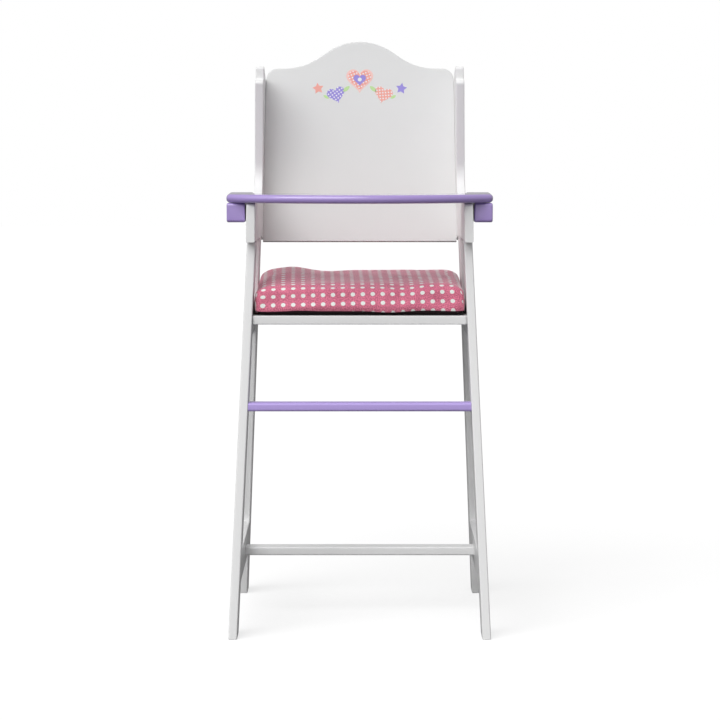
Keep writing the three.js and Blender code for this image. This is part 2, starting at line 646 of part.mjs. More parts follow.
// The pivot, from outside inwards: bolt head, tray arm, washer, insert in the side panel.
const INSERT_FACE = PANEL_FACE - INSERT_SINK;
const BOLT_LENGTH = TRAY_ARM_OUTER + FIT - INSERT_FACE + INSERT_LENGTH - FIT;

// A domed bolt, the underside of its head at zero and its shank along +Z.
function bolt() {
  const body = turned([
    [0, -BOLT_HEAD_HEIGHT],
    [BOLT_HEAD_RADIUS / 2, BOLT_CHAMFER - BOLT_HEAD_HEIGHT],
    [BOLT_HEAD_RADIUS - BOLT_RIM, -(BOLT_HEAD_HEIGHT + BOLT_RIM) / 2],
    [BOLT_HEAD_RADIUS, -BOLT_RIM],
    [BOLT_HEAD_RADIUS, 0],
    [BOLT_RADIUS, 0],
    [BOLT_RADIUS, BOLT_LENGTH - BOLT_CHAMFER],
    [BOLT_RADIUS - BOLT_CHAMFER, BOLT_LENGTH],
    [0, BOLT_LENGTH],
  ]);
  const socket = sixSided(BOLT_SOCKET_RADIUS, 2 * BOLT_SOCKET_DEPTH);
  return cut(body, [socket.translate(0, 0, -BOLT_HEAD_HEIGHT)]);
}

// A round sleeve that is open right through, from zero along +Z.
const sleeve = (inner, outer, length) =>
  turned([
    [inner, 0],
    [outer, 0],
    [outer, length],
    [inner, length],
    [inner, 0],
  ]);

const bore = (radius, length) =>
  new THREE.CylinderGeometry(radius, radius, length, TURNED_STEPS)
    .rotateX(Math.PI / 2)
    .translate(0, 0, length / 2);

const atPivot = (geometry, x) => placed(geometry, INWARDS, x, PIVOT_Y, PIVOT_Z);

const insertBore = () =>
  atPivot(
    bore(INSERT_RADIUS + FIT, INSERT_LENGTH + INSERT_SINK + FIT + OVERRUN),
    PANEL_FACE + OVERRUN,
  );
const armBore = () =>
  atPivot(bore(BOLT_RADIUS + FIT, TRAY_ARM_WIDTH + 2 * OVERRUN), TRAY_ARM_OUTER + OVERRUN);

// One side of the chair, built as the right side; the left one is its mirror image.
function side(name, mirror) {
  const group = new THREE.Group();
  group.scale.x = mirror;
  const add = (part, geometry, material) => group.add(mesh(name + "_" + part, geometry, material));
  const frontHoles = [
    ...dowelHoles("stretcher_front_dowel", "seat_rail_front_dowel", "front_leg_dowel"),
    ...screwHoles("footrest_screw"),
  ];
  const rearHoles = dowelHoles("stretcher_rear_dowel", "seat_rail_rear_dowel", "rear_leg_dowel");
  const stretcherHoles = [
    ...dowelHoles("stretcher_front_dowel", "stretcher_rear_dowel"),
    ...screwHoles("crossbar_screw"),
  ];
  const railHoles = [
    ...dowelHoles("seat_rail_front_dowel", "seat_rail_rear_dowel"),
    ...screwHoles(...namesLike(SCREWS, "seat_screw")),
  ];
  const panelHoles = [
    ...dowelHoles("front_leg_dowel", "rear_leg_dowel"),
    ...screwHoles(...namesLike(SCREWS, "backrest_screw")),
    insertBore(),
  ];
  add("front_leg", leg(FRONT_FOOT_Y, FRONT_LEAN_SHARE, frontHoles), WHITE_PAINT);
  add("rear_leg", leg(REAR_FOOT_Y, REAR_LEAN_SHARE, rearHoles), WHITE_PAINT);
  add(
    "lower_stretcher",
    frameBoard(STRETCHER_BOTTOM, STRETCHER_HEIGHT, stretcherHoles),
    WHITE_PAINT,
  );
  add("seat_rail", frameBoard(RAIL_BOTTOM, RAIL_HEIGHT, railHoles), WHITE_PAINT);
  add("side_panel", sidePanel(panelHoles), WHITE_PAINT);
  for (const [part, place] of Object.entries(DOWELS)) add(part, placed(dowel(), ...place), BEECH);
  for (const [part, place] of Object.entries(SCREWS)) {
    add(part, placed(screw(SCREW_LENGTH), ...place), STEEL);
  }
  const insert = sleeve(BOLT_RADIUS + FIT, INSERT_RADIUS, INSERT_LENGTH);
  const washer = sleeve(BOLT_RADIUS + FIT, WASHER_RADIUS, WASHER_THICKNESS);
  add("pivot_insert", atPivot(insert, INSERT_FACE), STEEL);
  add("pivot_washer", atPivot(washer, TRAY_ARM_INNER - FIT), STEEL);
  add("pivot_bolt", atPivot(bolt(), TRAY_ARM_OUTER + FIT), STEEL);
  return group;
}

// Both sides' screws of a kind, as holes in the piece that joins the sides.
function holesFromBothSides(holes) {
  const mirrored = holes.map((hole) => {
    const other = hole.clone().applyMatrix4(new THREE.Matrix4().makeScale(-1, 1, 1));
    return flipped(other);
  });
  return [...holes, ...mirrored];
}

// A geometry with each face turned round, for one that has been mirrored.
function flipped(geometry) {
  const loose = geometry.index ? geometry.toNonIndexed() : geometry;
  const corners = loose.attributes.position;
  const swap = new THREE.Vector3();
  const keep = new THREE.Vector3();
  for (let i = 0; i < corners.count; i += 3) {
    swap.fromBufferAttribute(corners, i + 1);
    keep.fromBufferAttribute(corners, i + 2);
    corners.setXYZ(i + 1, keep.x, keep.y, keep.z);
    corners.setXYZ(i + 2, swap.x, swap.y, swap.z);
  }
  return loose;
}

const joining = (start) => holesFromBothSides(screwHoles(...namesLike(SCREWS, start)));
const trayScrewHoles = () =>
  Object.values(TRAY_SCREWS).map((place) => placed(screwHole(TRAY_SCREW_LENGTH), ...place));

// The pieces between the two sides.
function middle() {
  const group = new THREE.Group();
  group.add(
    mesh("backrest_panel", backrest(joining("backrest_screw")), WHITE_PAINT),
    mesh("seat_board", seatBoard(joining("seat_screw")), WHITE_PAINT),
    mesh("seat_cushion", cushion(), PINK_FABRIC),
    mesh(
      "footrest_bar",
      crossMember(
        FOOTREST_Y,
        FOOTREST_MIDDLE,
        FOOTREST_DEPTH,
        FOOTREST_CORNER,
        joining("footrest_screw"),
      ),
      LILAC_PAINT,
    ),
    mesh(
      "lower_crossbar",
      crossMember(
        CROSSBAR_Y,
        STRETCHER_MIDDLE,
        CROSSBAR_DEPTH,
        CROSSBAR_CORNER,
        joining("crossbar_screw"),
      ),
      WHITE_PAINT,
    ),
  );
  return group;
}

// One side of the tray: its arm and the screws that hold it to the board.
function traySide(name, mirror) {
  const group = new THREE.Group();
  group.scale.x = mirror;
  const add = (part, geometry, material) => group.add(mesh(name + "_" + part, geometry, material));
  add("tray_arm", trayArm([armBore(), ...trayScrewHoles()]), LILAC_PAINT);
  for (const [part, place] of Object.entries(TRAY_SCREWS)) {
    add(part, placed(screw(TRAY_SCREW_LENGTH), ...place), STEEL);
  }
  return group;
}

const chair = new THREE.Group();
chair.add(middle(), side("left", -1), side("right", 1));
const tray = new THREE.Group();
tray.add(mesh("tray_board", trayBoard(holesFromBothSides(trayScrewHoles())), LILAC_PAINT));
tray.add(traySide("left", -1), traySide("right", 1));
const highChair = new THREE.Group();
highChair.add(chair, tray);

export default highChair;
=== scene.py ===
"""A doll's high chair: satin painted boards, a dotted cushion, and a tray that swings up.

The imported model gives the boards, screws and pivots. This script gives each one its finish and
adds the sewn cushion and the printed decoration. Lengths are in metres, +Z is up and the chair
faces -Y. Left and right are those of a person who faces the chair.
"""

import json
import math

import bpy
from mathutils import Euler, Matrix, Vector, noise

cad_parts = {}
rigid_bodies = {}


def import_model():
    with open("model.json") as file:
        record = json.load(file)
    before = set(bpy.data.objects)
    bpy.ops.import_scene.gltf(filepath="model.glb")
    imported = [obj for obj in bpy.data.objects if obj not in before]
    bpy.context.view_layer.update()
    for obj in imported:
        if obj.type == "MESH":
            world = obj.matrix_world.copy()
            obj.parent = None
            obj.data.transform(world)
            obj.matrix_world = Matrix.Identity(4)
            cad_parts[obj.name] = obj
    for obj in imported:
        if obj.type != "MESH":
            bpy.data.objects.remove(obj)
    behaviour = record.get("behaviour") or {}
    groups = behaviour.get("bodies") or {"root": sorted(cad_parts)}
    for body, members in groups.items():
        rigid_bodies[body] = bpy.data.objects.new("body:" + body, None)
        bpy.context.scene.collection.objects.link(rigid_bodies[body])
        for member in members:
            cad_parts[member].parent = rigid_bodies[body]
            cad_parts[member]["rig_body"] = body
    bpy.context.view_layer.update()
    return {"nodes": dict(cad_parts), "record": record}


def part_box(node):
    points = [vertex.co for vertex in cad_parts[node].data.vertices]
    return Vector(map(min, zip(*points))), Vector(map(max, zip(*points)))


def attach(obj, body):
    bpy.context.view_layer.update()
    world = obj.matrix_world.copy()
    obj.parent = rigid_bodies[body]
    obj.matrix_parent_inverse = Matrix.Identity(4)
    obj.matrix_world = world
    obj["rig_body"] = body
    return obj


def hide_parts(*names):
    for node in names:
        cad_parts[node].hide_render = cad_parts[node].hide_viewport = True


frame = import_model()

# The photograph's viewpoint
CAMERA_PLACE = Vector((0.0003, -2.3539, 0.49889))
CAMERA_PITCH = math.radians(84.5474)
CAMERA_LENS = 110.0
SENSOR_WIDTH = 36.0

# Studio light, each lamp as azimuth to the left, elevation, spread and power
LAMPS = {
    "key": (30.0, 46.0, 50.0, 2.0),
    "side": (60.0, 30.0, 40.0, 0.45),
    "fill": (0.0, 15.0, 50.0, 0.24),
}
ROOM_LIGHT = 0.45
WHITE = (1.0, 1.0, 1.0)
FLOOR_HALF = 12.0
FLOOR_SHADE = 0.34  # how much of the floor's look is lit surface
FLOOR_GLOW = 0.70
FLOOR_BOUNCE = 0.16

# Each paint: its material's name, colour, roughness and coat of lacquer
PAINTS = {
    "white_paint": ("white paint", (0.83, 0.83, 0.83), 0.34, 0.0),
    # A darker copy of the white paint: painted shade on the backrest
    "backrest": ("backrest white, painted shade", (0.737, 0.748, 0.74), 0.42, 0.0),
    "lilac_paint": ("lilac paint", (0.4, 0.29, 0.65), 0.34, 1.0),
    # A lighter copy of the lilac paint: painted light on the footrest
    "footrest": ("footrest lilac, painted light", (0.485, 0.37, 0.775), 0.4, 0.0),
}
# Boards that take a copy of their paint, toned as painted shade or painted light
PAINTED_LIGHT_AND_SHADE = {"backrest_panel": "backrest", "footrest_bar": "footrest"}
PATCH_SHADE = 0.975  # the darkest patches of a paint, as a share of its colour
GLOSS_SPREAD = 0.12  # how much a paint's roughness varies
LACQUER_ROUGHNESS = 0.06

# The other materials' colours. Where there are two, the material varies between them
ZINC = (0.62, 0.62, 0.64)
BEECH = ((0.62, 0.42, 0.22), (0.76, 0.56, 0.33))
COTTON_PINK = ((0.46, 0.095, 0.165), (0.90, 0.25, 0.375))
COTTON_WHITE = ((0.78, 0.83, 0.78), (0.93, 0.96, 0.92))
# Near-black felt below the cushion's lower seam: painted shade for the recess between cushion
# and seat board
PAINTED_SHADE_FELT = ((0.012, 0.006, 0.007), (0.03, 0.018, 0.02))

# Cloudy patterns: cells in a metre and octaves of detail
GRAINS = {
    "roller": (900.0, 2.0),
    "patches": (35.0, 3.0),
    "zinc": (600.0, 4.0),
    "wood": (500.0, 5.0),
    "threads": (1000.0, 2.0),
    "wear": (60.0, 3.0),
    "fibres": (900.0, 4.0),
    "speckle": (700.0, 2.0),
}
RELIEF = 0.0002  # height of the bumps at full strength
PAINT_RELIEF = 0.08  # their strength on paint
CLOTH_RELIEF = 0.35  # their strength on cotton
WEAVE_PITCH = 0.0007  # from thread to thread
WEAVE_HEIGHT = 0.25  # beside the threads' own unevenness
THREAD_SHARE = 0.8  # how much of the cotton's unevenness is threads, the rest being wear
SHADE_RANGE = (0.34, 0.66)  # the stretch of that unevenness from the dark to the light colour

# Painted boards
WELD = 1e-6
SMOOTH_ANGLE = math.radians(50.0)
FLATNESS = 96  # how far large faces outweigh the small ones round their edges
SNUG = 0.00026  # how far a board's ends reach into the fitting gap
CROSS_BOARDS = ("backrest_panel", "seat_board", "footrest_bar", "lower_crossbar")
FRONT_END = 0.006  # the stretch at a board's front that moves when it is lengthened
ARM_REACH = 0.020  # how far a tray arm runs on, to the tray's front corner
SEAT_REACH = 0.0225  # how far the seat board runs on, to the front legs' faces
SEAT_RISE = 0.0016
FOOTREST_SHIFT = Vector((0.0, -0.005, 0.0012))  # out to the front legs' faces

# The side panels' arms, whose front part is made to stand upright: where this part starts, the
# height of its foot, its own height, and how far forward its top moves
ARM_START = -0.055
ARM_FOOT = 0.4045
ARM_HEIGHT = 0.0402
ARM_SHIFT = 0.0215

# The arms' lower front corner, made sharp: what is below CORNER_TOP and ahead of CORNER_REAR
# goes to CORNER_FACE, which leans back a little
CORNER_TOP = 0.4108
CORNER_REAR = -0.0905
CORNER_FACE = -0.0988
CORNER_LEAN = 0.0015

# The backrest's front side edges, sharp where they meet the panels: for both ends of an edge,
# between which heights its vertices lie, and how far out it stands
BACK_EDGES = ((0.3972, 0.3985, 0.10787), (0.5767, 0.5769, 0.10485))
BACK_EDGE_ROUND = 0.0011

# Cushion
CUSHION_CELLS = (44, 28, 8)  # across, along and up
CUSHION_HALF = 0.1097  # half its width
CUSHION_FRONT = -0.0912
CUSHION_REAR = 0.0745
CUSHION_FOOT = 0.0003  # above the seat board
CUSHION_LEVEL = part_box("seat_board")[1].z + SEAT_RISE + CUSHION_FOOT
CUSHION_RIM = 0.0287  # height of the top's front edge above the foot
CUSHION_CROWN = 0.0112  # height of the top's crest above that edge
CUSHION_CREST = 0.7  # where the top is highest, as a share of the way back
CROWN_SWELL = 1.35  # how quickly the top rises behind its front edge
CUSHION_LEAN = 0.0025  # how far the front wall leans back
LEAN_FADE = 3  # how quickly that lean dies out behind the front wall, a power

# How far the cushion's edges are rounded
PLAN_ROUND = 0.003  # the upright edges at the foot, across
FOOT_CURL = 0.0098  # the front and rear walls at the foot, where they draw in
FOOT_ROUND = 0.0155  # the foot, upwards
FRONT_ROUND = 0.0032  # the top's front and rear edges
SIDE_ROUND = 0.008  # the top's side edges
SIDE_ONSET = 6  # how close to the sides their rounding starts, a power

# Swelling of the cushion
PUFF_INSET = 0.0012
PUFF_LIMIT = 0.0018
PUFF_PRESSURE = 4.0
PUFF_STEPS = 20

# Unevenness of the filling: middle, reach and height, for the top and for its front edge
TOP_WAVES = ((-0.074, 0.019, 0.0031), (-0.034, 0.018, -0.0013))
EDGE_WAVES = ((-0.107, 0.034, -0.0010), (0.047, 0.016, -0.0011), (0.082, 0.02, 0.0007))
# The edge's waves give way to the top's: how quickly, and how late this starts
EDGE_FADE = 3.0
EDGE_DELAY = 0.3
WRINKLE = (0.0006, 38.0)  # height, and how many there are in a metre

# The lower seam: its height, how much it wanders, and how many wanderings are in a metre. Below
# it the near-black felt is painted shade
SEAM_HEIGHT = 0.0032
SEAM_WANDER = 0.0026
SEAM_TURNS = 30.0
SEAM_SLICE = 0.1

# Printed dots
DOT_PITCH = 0.01042
DOT_RADIUS = 0.00238
DOT_TILT = math.radians(1.4)
DOT_SHIFT = (0.0030, 0.0042)  # a dot's place from the middle of the cushion's top front edge
DOT_SQUEEZE = 0.885  # the cloth is drawn together across its rows
DOT_EDGE = (0.9, 1.08)  # where a dot's soft edge starts and ends, as shares of its radius

# Print on the backrest
INK = 0.0001
INK_SHADE = 0.93
FACING = 0.9  # how squarely the board's front face looks forward, at least
OUTLINE_POINTS = 120
PRINT_DOTS = (0.0032, 0.00085, math.radians(20.0), (0.0, 0.0))
INKS = {
    "salmon": (0.9, 0.4, 0.34),
    "rose": (0.93, 0.6, 0.55),
    "violet": (0.33, 0.28, 0.74),
    "green": (0.54, 0.78, 0.35),
    "white": (0.86, 0.86, 0.88),
}
HEART_WAVES = (2.5, 13.0, -5.0, -2.0, -1.0)  # shares of the waves in the usual heart curve
HEART_HALF = 16.0  # half its width, on the scale of those shares
STAR_WAIST = 0.52  # how far out a star's inner corners are
LEAF_WIDTH = 0.44
LEAF_POINT = 1.6  # how sharp a leaf's ends are, a power
MILLIMETRE = 0.001
# Each motif: its shape and ink, whether dotted, its place across and up the board in
# millimetres, its width, its turn in degrees and its layer
MOTIFS = (
    ("heart", "rose", False, 0.0, 181.0, 30.0, 0.0, 1),
    ("heart", "salmon", True, 0.0, 181.4, 25.5, 0.0, 2),
    ("heart", "violet", False, 0.0, 182.0, 14.0, 0.0, 3),
    ("disc", "white", False, 0.0, 183.0, 4.4, 0.0, 4),
    ("heart", "violet", True, -26.0, 165.0, 20.0, 16.0, 1),
    ("heart", "salmon", True, 26.0, 165.0, 20.0, -16.0, 1),
    ("star", "salmon", False, -46.5, 173.0, 13.0, 9.0, 1),
    ("star", "violet", False, 46.5, 173.0, 13.0, -9.0, 1),
    ("leaf", "green", False, -15.0, 172.5, 9.5, 40.0, 1),
    ("leaf", "green", False, 15.0, 172.5, 9.5, -40.0, 1),
    ("leaf", "green", False, -37.5, 163.5, 7.0, -30.0, 1),
    ("leaf", "green", False, 37.5, 163.5, 7.0, 30.0, 1),
)


class Signal:
    """An output of a shader node. Arithmetic on it adds Math nodes."""

    def __init__(self, tree, socket):
        self.tree = tree
        self.socket = socket

    def math(self, operation, *others):
        values = dict(enumerate((self, *others)))
        return node(self.tree, "ShaderNodeMath", {"operation": operation}, values)

    def __add__(self, other):
        return self.math("ADD", other)

    def __sub__(self, other):
        return self.math("SUBTRACT", other)

    def __rsub__(self, other):
        return self.math("MULTIPLY_ADD", -1.0, other)

    def __mul__(self, other):
        return self.math("MULTIPLY", other)

    def __truediv__(self, other):
        return self.math("DIVIDE", other)

    __radd__ = __add__
    __rmul__ = __mul__


def node(tree, kind, settings=None, inputs=None, output=0):
    """Adds a shader node: first its settings, then the values or links of its inputs."""
    made = tree.nodes.new(kind)
    for name, value in (settings or {}).items():
        setattr(made, name, value)
    for name, value in (inputs or {}).items():
        if isinstance(value, Signal):
            tree.links.new(value.socket, made.inputs[name])
        else:
            made.inputs[name].default_value = value
    return Signal(tree, made.outputs[output])


def new_material(name):
    """An empty material and its node tree."""
    material = bpy.data.materials.new(name)
    material.use_nodes = True
    material.node_tree.nodes.clear()
    return material, material.node_tree


def end_with(tree, shader, kind="ShaderNodeOutputMaterial"):
    """Shows a shader as the surface."""
    out = tree.nodes.new(kind)
    tree.links.new(shader.socket, out.inputs["Surface"])


def surface(tree, **inputs):
    """Ends a material with a principled surface. Underscores in the names stand for spaces."""
    named = {name.replace("_", " "): value for name, value in inputs.items()}
    end_with(tree, node(tree, "ShaderNodeBsdfPrincipled", inputs=named))


def solid(color, share=1.0):
    """A colour, or a darker share of it, as a shader wants it."""
    return (*[channel * share for channel in color], 1.0)


def mixed(tree, factor, first, second):
    """A colour between two colours."""
    return node(
        tree,
        "ShaderNodeMix",
        {"data_type": "RGBA", "clamp_factor": True},
        {"Factor": factor, "A": first, "B": second},
        output="Result",
    )


def between(signal, low, high):
    """Runs from low to high while the signal goes from 0 to 1."""
    return signal * (high - low) + low


def smooth_step(signal, low, high):
    """Runs from 0 to 1 while the signal goes from low to high."""
    return node(
        signal.tree,
        "ShaderNodeMapRange",
        {"interpolation_type": "SMOOTHSTEP", "clamp": True},
        {"Value": signal, "From Min": low, "From Max": high},
    )


def grain(tree, place, kind):
    """A cloudy pattern of one of the kinds in GRAINS."""
    scale, detail = GRAINS[kind]
    return node(
        tree,
        "ShaderNodeTexNoise",
        inputs={"Vector": place, "Scale": scale, "Detail": detail},
    )


def relief(tree, height, strength):
    """Small bumps that follow a pattern."""
    return node(
        tree,
        "ShaderNodeBump",
        inputs={"Height": height, "Strength": strength, "Distance": RELIEF},
    )


def object_place(tree):
    """Where a point lies on the chair, in metres."""
    return node(tree, "ShaderNodeTexCoord", output="Object")


def cloth_place(tree):
    """Where a point lies on the flat cloth or print, in metres."""
    return node(tree, "ShaderNodeUVMap", {"uv_map": "flat"})


def across_and_up(tree, place):
    """The two coordinates of a place on flat cloth."""
    split = tree.nodes.new("ShaderNodeSeparateXYZ")
    tree.links.new(place.socket, split.inputs[0])
    return [Signal(tree, split.outputs[axis]) for axis in (0, 1)]


def dots(tree, place, pitch, radius, tilt, shift, squeeze=1.0):
    """A mask of round dots on a square grid, 1 inside a dot."""
    turned = node(
        tree,
        "ShaderNodeMapping",
        {"vector_type": "TEXTURE"},
        {
            "Vector": place,
            "Location": (*shift, 0.0),
            "Rotation": (0.0, 0.0, tilt),
            "Scale": (1.0, squeeze, 1.0),
        },
    )
    squares = 0.0
    for along in across_and_up(tree, turned):
        cell = along / pitch + 0.5
        offset = (cell.math("FRACT") - 0.5) * pitch
        squares = offset * offset + squares
    fade = [radius * share for share in DOT_EDGE]
    return 1.0 - smooth_step(squares.math("SQRT"), *fade)


def paint(name, color, roughness, coat):
    """Satin paint on board: faint roller texture, a sheen that varies a little, and lacquer."""
    material, tree = new_material(name)
    place = object_place(tree)
    patches = grain(tree, place, "patches")
    spread = GLOSS_SPREAD / 2.0
    surface(
        tree,
        Base_Color=mixed(tree, patches, solid(color, PATCH_SHADE), solid(color)),
        Roughness=between(patches, roughness - spread, roughness + spread),
        Coat_Weight=coat,
        Coat_Roughness=LACQUER_ROUGHNESS,
        Normal=relief(tree, grain(tree, place, "roller"), PAINT_RELIEF),
    )
    return material


def zinc():
    """Bright zinc plate on the screws and bolts."""
    material, tree = new_material("zinc plate")
    cloud = grain(tree, object_place(tree), "zinc")
    roughness = between(cloud, 0.22, 0.42)
    surface(tree, Base_Color=solid(ZINC), Metallic=1.0, Roughness=roughness)
    return material


def beech():
    """Bare beech for the dowels."""
    material, tree = new_material("bare beech")
    wood = grain(tree, object_place(tree), "wood")
    color = mixed(tree, wood, *map(solid, BEECH))
    surface(tree, Base_Color=color, Roughness=0.65)
    return material


def dotted_cotton():
    """Pink cotton with white printed dots, a plain weave and a slight fuzz."""
    material, tree = new_material("dotted cotton")
    place = cloth_place(tree)
    mask = dots(tree, place, DOT_PITCH, DOT_RADIUS, DOT_TILT, DOT_SHIFT, DOT_SQUEEZE)
    threads = grain(tree, place, "threads")
    wear = grain(tree, place, "wear")
    uneven = threads * THREAD_SHARE + wear * (1.0 - THREAD_SHARE)
    shade = smooth_step(uneven, *SHADE_RANGE)
    pink = mixed(tree, shade, *map(solid, COTTON_PINK))
    white = mixed(tree, shade, *map(solid, COTTON_WHITE))
    weave = 0.0
    for along in across_and_up(tree, place):
        turns = along * (2.0 * math.pi / WEAVE_PITCH)
        weave = turns.math("SINE") + weave
    surface(
        tree,
        Base_Color=mixed(tree, mask, pink, white),
        Roughness=between(threads, 0.82, 0.92),
        Sheen_Weight=0.55,
        Sheen_Roughness=0.4,
        Normal=relief(tree, weave * WEAVE_HEIGHT + threads, CLOTH_RELIEF),
    )
    return material


def painted_shade_lining():
    """Near-black felt on the cushion's underside, folded up to its lower seam: painted shade for
    the recess between cushion and seat board.
    """
    material, tree = new_material("felt, painted shade")
    fibres = grain(tree, object_place(tree), "fibres")
    color = mixed(tree, fibres, *map(solid, PAINTED_SHADE_FELT))
    surface(tree, Base_Color=color, Roughness=0.95, Specular_IOR_Level=0.15)
    return material


def print_ink(name, color, dotted):
    """Printing ink on the paint, plain or with small white dots."""
    material, tree = new_material(name)
    speckle = grain(tree, object_place(tree), "speckle")
    tone = mixed(tree, speckle, solid(color, INK_SHADE), solid(color))
    if dotted:
        mask = dots(tree, cloth_place(tree), *PRINT_DOTS)
        tone = mixed(tree, mask, tone, solid(INKS["white"]))
    surface(tree, Base_Color=tone, Roughness=0.5)
    return material


def make_camera():
    """A camera at the photograph's viewpoint."""
    data = bpy.data.cameras.new("camera")
    data.lens = CAMERA_LENS
    data.sensor_width = SENSOR_WIDTH
    camera = bpy.data.objects.new("camera", data)
    camera.location = CAMERA_PLACE
    camera.rotation_euler = Euler((CAMERA_PITCH, 0.0, 0.0))
    bpy.context.scene.collection.objects.link(camera)
    bpy.context.scene.camera = camera


def make_lamp(name, azimuth, elevation, spread, power):
    """A wide soft source, far away, so that it falls evenly on chair and floor."""
    data = bpy.data.lights.new(name, "SUN")
    data.angle = math.radians(spread)
    data.energy = power
    lamp = bpy.data.objects.new(name, data)
    lamp.rotation_euler = Euler((math.radians(90.0 - elevation), 0.0, -math.radians(azimuth)))
    bpy.context.scene.collection.objects.link(lamp)


def make_room():
    """White surroundings: bright to the camera, dimmer as light."""
    world = bpy.data.worlds.new("room")
    bpy.context.scene.world = world
    world.use_nodes = True
    tree = world.node_tree
    tree.nodes.clear()
    seen = node(tree, "ShaderNodeLightPath", output="Is Camera Ray")
    look = {"Color": solid(WHITE), "Strength": between(seen, ROOM_LIGHT, 1.0)}
    sky = node(tree, "ShaderNodeBackground", inputs=look)
    end_with(tree, sky, "ShaderNodeOutputWorld")


def make_floor():
    """A pale floor that shows white with soft shadows and throws little light back."""
    bpy.ops.mesh.primitive_plane_add(size=2.0 * FLOOR_HALF)
    floor = bpy.context.object
    floor.name = "studio_floor"
    material, tree = new_material("studio floor")
    seen = node(tree, "ShaderNodeLightPath", output="Is Camera Ray")
    shade, dull = (
        node(tree, "ShaderNodeBsdfDiffuse", inputs={"Color": solid(WHITE, share)})
        for share in (FLOOR_SHADE, FLOOR_BOUNCE)
    )
    glow = node(tree, "ShaderNodeEmission", inputs={"Strength": FLOOR_GLOW})
    shown = node(tree, "ShaderNodeAddShader", inputs={0: shade, 1: glow})
    end_with(tree, node(tree, "ShaderNodeMixShader", inputs={0: seen, 1: dull, 2: shown}))
    floor.data.materials.append(material)


def pick(piece):
    """Makes a piece the only one selected, and active."""
    bpy.ops.object.select_all(action="DESELECT")
    piece.select_set(True)
    bpy.context.view_layer.objects.active = piece


def stretch_of(name, low, high):
    """How a board is stretched to close the fitting gaps at its ends: factors and centre."""
    middle = (low + high) / 2.0
    size = high - low
    factors = Vector((1.0, 1.0, 1.0))
    if name.endswith("_leg"):
        factors.z = 1.0 + SNUG / size.z
        middle.z = low.z
    elif name.endswith(("_stretcher", "_rail")):
        factors.y = 1.0 + 2.0 * SNUG / size.y
    elif name in CROSS_BOARDS:
        factors.x = 1.0 + 2.0 * SNUG / size.x
    return factors, middle


def reshape(piece, name):
    """Brings a few boards' ends and edges to where the photograph's light shows them."""
    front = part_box(name)[0].y + FRONT_END
    reach = ARM_REACH * name.endswith("_tray_arm") + SEAT_REACH * (name == "seat_board")
    edges = BACK_EDGES if name == "backrest_panel" else ()
    for vertex in piece.data.vertices:
        place = vertex.co
        place.y -= reach * (place.y < front)
        if name == "seat_board":
            place.z += SEAT_RISE
        if name == "footrest_bar":
            place += FOOTREST_SHIFT
        if name.endswith("_side_panel") and place.y < ARM_START:
            rise = min(max((place.z - ARM_FOOT) / ARM_HEIGHT, 0.0), 1.0)
            place.y -= ARM_SHIFT * rise
            if place.z < CORNER_TOP and place.y < CORNER_REAR:
                place.y = CORNER_FACE + CORNER_LEAN * rise
        for low, high, edge in edges:
            if low < place.z < high and abs(place.x) > edge - BACK_EDGE_ROUND:
                place.x = math.copysign(edge, place.x)


def painted_board(name, material):
    """A copy of a board with its corners welded and its rounded edges shaded smooth."""
    cad = frame["nodes"][name]
    piece = bpy.data.objects.new(name + "_painted", cad.data.copy())
    bpy.context.scene.collection.objects.link(piece)
    pick(piece)
    factors, middle = stretch_of(name, *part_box(name))
    bpy.ops.object.mode_set(mode="EDIT")
    bpy.ops.mesh.select_all(action="SELECT")
    bpy.ops.mesh.remove_doubles(threshold=WELD)
    bpy.ops.transform.resize(value=factors, center_override=middle)
    bpy.ops.object.mode_set(mode="OBJECT")
    reshape(piece, name)
    bpy.ops.object.shade_smooth_by_angle(angle=SMOOTH_ANGLE)
    weighted = piece.modifiers.new("even faces", "WEIGHTED_NORMAL")
    weighted.keep_sharp = True
    weighted.weight = FLATNESS
    bpy.ops.object.modifier_apply(modifier=weighted.name)
    piece.data.materials.clear()
    piece.data.materials.append(material)
    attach(piece, cad["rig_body"])
    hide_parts(name)


def eased(value):
    """A smooth ramp from 0 to 1."""
    value = min(max(value, 0.0), 1.0)
    return value * value * (3.0 - 2.0 * value)


def crown(way):
    """Share of the crown at a way from the front (0) to the rear (1)."""
    if way < CUSHION_CREST:
        return 1.0 - (1.0 - way / CUSHION_CREST) ** CROWN_SWELL
    return 1.0 - ((way - CUSHION_CREST) / (1.0 - CUSHION_CREST)) ** 2


def cushion_point(across, along, up):
    """A point of the cushion from its place in the box: -1 to 1 across and along, 0 to 1 up."""
    foot = CUSHION_LEVEL
    middle = (CUSHION_FRONT + CUSHION_REAR) / 2.0
    depth = (CUSHION_REAR - CUSHION_FRONT) / 2.0
    way = (along + 1.0) / 2.0
    top = foot + CUSHION_RIM + CUSHION_CROWN * crown(way)
    box = Vector((across * CUSHION_HALF, middle + along * depth, foot + up * (top - foot)))
    above = eased(2.0 * up - 1.0)
    side = FRONT_ROUND + (SIDE_ROUND - FRONT_ROUND) * abs(across) ** SIDE_ONSET
    rounding = Vector((
        PLAN_ROUND + (SIDE_ROUND - PLAN_ROUND) * above,
        FOOT_CURL + (FRONT_ROUND - FOOT_CURL) * above,
        side if up > 0.5 else FOOT_ROUND,
    ))
    core = Vector((
        max(min(box.x, CUSHION_HALF - rounding.x), rounding.x - CUSHION_HALF),
        max(min(box.y, CUSHION_REAR - rounding.y), CUSHION_FRONT + rounding.y),
        max(min(box.z, top - rounding.z), foot + rounding.z),
    ))
    away = Vector([(box[axis] - core[axis]) / rounding[axis] for axis in range(3)])
    if away.length > 0.0:
        away.normalize()
    point = core + Vector([away[axis] * rounding[axis] for axis in range(3)])
    point.y += CUSHION_LEAN * eased(up) * max(0.0, -along) ** LEAN_FADE
    return point


def waves(across, table):
    """Height of the filling's unevenness at a place across the cushion."""
    return sum(
        height * math.exp(-(((across - middle) / reach) ** 2))
        for middle, reach, height in table
    )


